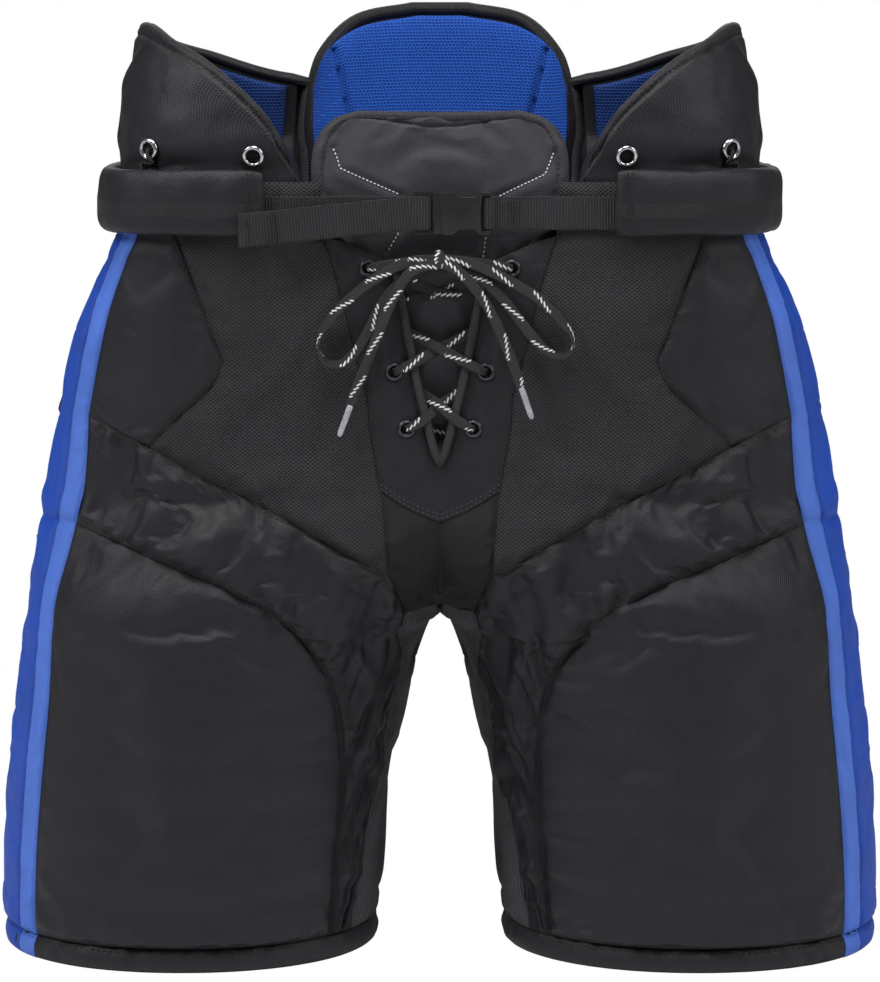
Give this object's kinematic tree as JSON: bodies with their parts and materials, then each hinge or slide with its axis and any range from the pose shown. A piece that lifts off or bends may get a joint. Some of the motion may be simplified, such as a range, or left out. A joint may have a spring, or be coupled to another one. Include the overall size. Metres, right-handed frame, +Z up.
{
  "type": "ice hockey pants",
  "caption": "Padded hockey pants with a laced fly, waist belt with side-release buckle, raised kidney and spine pads and striped sides.",
  "frame": {"origin": "middle of the footprint at the flat undersides of both leg hems", "axes": "+Z up, the fly faces -Y, +X towards the right as seen from the front"},
  "size_m": [0.6174, 0.2483, 0.6537],
  "materials": {
    "twill": "matte twill nylon",
    "gusset_knit": "smooth knit",
    "binding": "woven binding",
    "mesh": "open mesh",
    "side_webbing": "ribbed tape",
    "stripe_light": "satin nylon",
    "stripe_dark": "satin nylon",
    "wing_lining": "spacer mesh",
    "back_lining": "spacer mesh",
    "foam": "closed cell foam",
    "guard_plastic": "moulded",
    "webbing": "ribbed webbing",
    "buckle_plastic": "moulded, satin",
    "nickel": "plated",
    "cord": "flat woven lace with a pale fleck",
    "aglet": "clear sleeve"
  },
  "bodies": {
    "pants": {"thigh_panel_left": "twill", "thigh_panel_right": "twill", "thigh_yoke_left": "twill", "thigh_yoke_right": "twill", "back_thigh_left": "twill", "back_thigh_right": "twill", "hip_panel_left": "twill", "hip_panel_right": "twill", "fly_panel_left": "twill", "fly_panel_right": "twill", "hem_band_left": "twill", "hem_band_right": "twill", "kidney_pad_left": "twill", "kidney_pad_right": "twill", "belt_left": "twill", "belt_right": "twill", "seat_panel": "twill", "belly_pad": "twill", "spine_pad": "twill", "crotch_gusset": "gusset_knit", "fly_slit_binding": "binding", "mesh_panel_left": "mesh", "mesh_panel_right": "mesh", "inner_leg_strip_left": "side_webbing", "inner_leg_strip_right": "side_webbing", "stripe_light_left": "stripe_light", "stripe_light_right": "stripe_light", "stripe_dark_left": "stripe_dark", "stripe_dark_right": "stripe_dark", "kidney_lining_left": "wing_lining", "kidney_lining_right": "wing_lining", "spine_lining": "back_lining", "tailbone_pad": "foam", "thigh_guard_left": "guard_plastic", "thigh_guard_right": "guard_plastic", "strap_right": "webbing", "buckle_socket": "buckle_plastic", "eyelet_low_left": "nickel", "eyelet_low_right": "nickel", "eyelet_middle_left": "nickel", "eyelet_middle_right": "nickel", "eyelet_top_left": "nickel", "eyelet_top_right": "nickel", "grommet_inner_left": "nickel", "grommet_inner_right": "nickel", "grommet_outer_left": "nickel", "grommet_outer_right": "nickel", "lace_run": "cord", "lace_loop_left": "cord", "lace_loop_right": "cord", "lace_tail_left": "cord", "lace_tail_right": "cord", "kidney_tie_left": "cord", "kidney_tie_right": "cord", "aglet_left": "aglet", "aglet_right": "aglet"},
    "buckle_ladder": {"buckle_ladder": "buckle_plastic", "strap_left": "webbing"},
    "prong_upper": {"buckle_prong_upper": "buckle_plastic"},
    "prong_lower": {"buckle_prong_lower": "buckle_plastic"}
  },
  "joints": [
    {"name": "buckle_release", "type": "slide", "parent": "pants", "child": "buckle_ladder", "axis": [-1, 0, 0], "range_m": [0, 0.028]},
    {"name": "prong_upper_press", "type": "hinge", "parent": "buckle_ladder", "child": "prong_upper", "pos_m": [0.0007, -0.1112, 0.5243], "axis": [0, 1, 0], "range_deg": [0, 6], "stiffness_Nm_per_rad": 0.3},
    {"name": "prong_lower_press", "type": "hinge", "parent": "buckle_ladder", "child": "prong_lower", "pos_m": [0.0007, -0.1112, 0.5117], "axis": [0, -1, 0], "range_deg": [0, 6], "stiffness_Nm_per_rad": 0.3}
  ],
  "couplings": [
    {"joint": "prong_lower_press", "follows": "prong_upper_press", "ratio": 1}
  ]
}
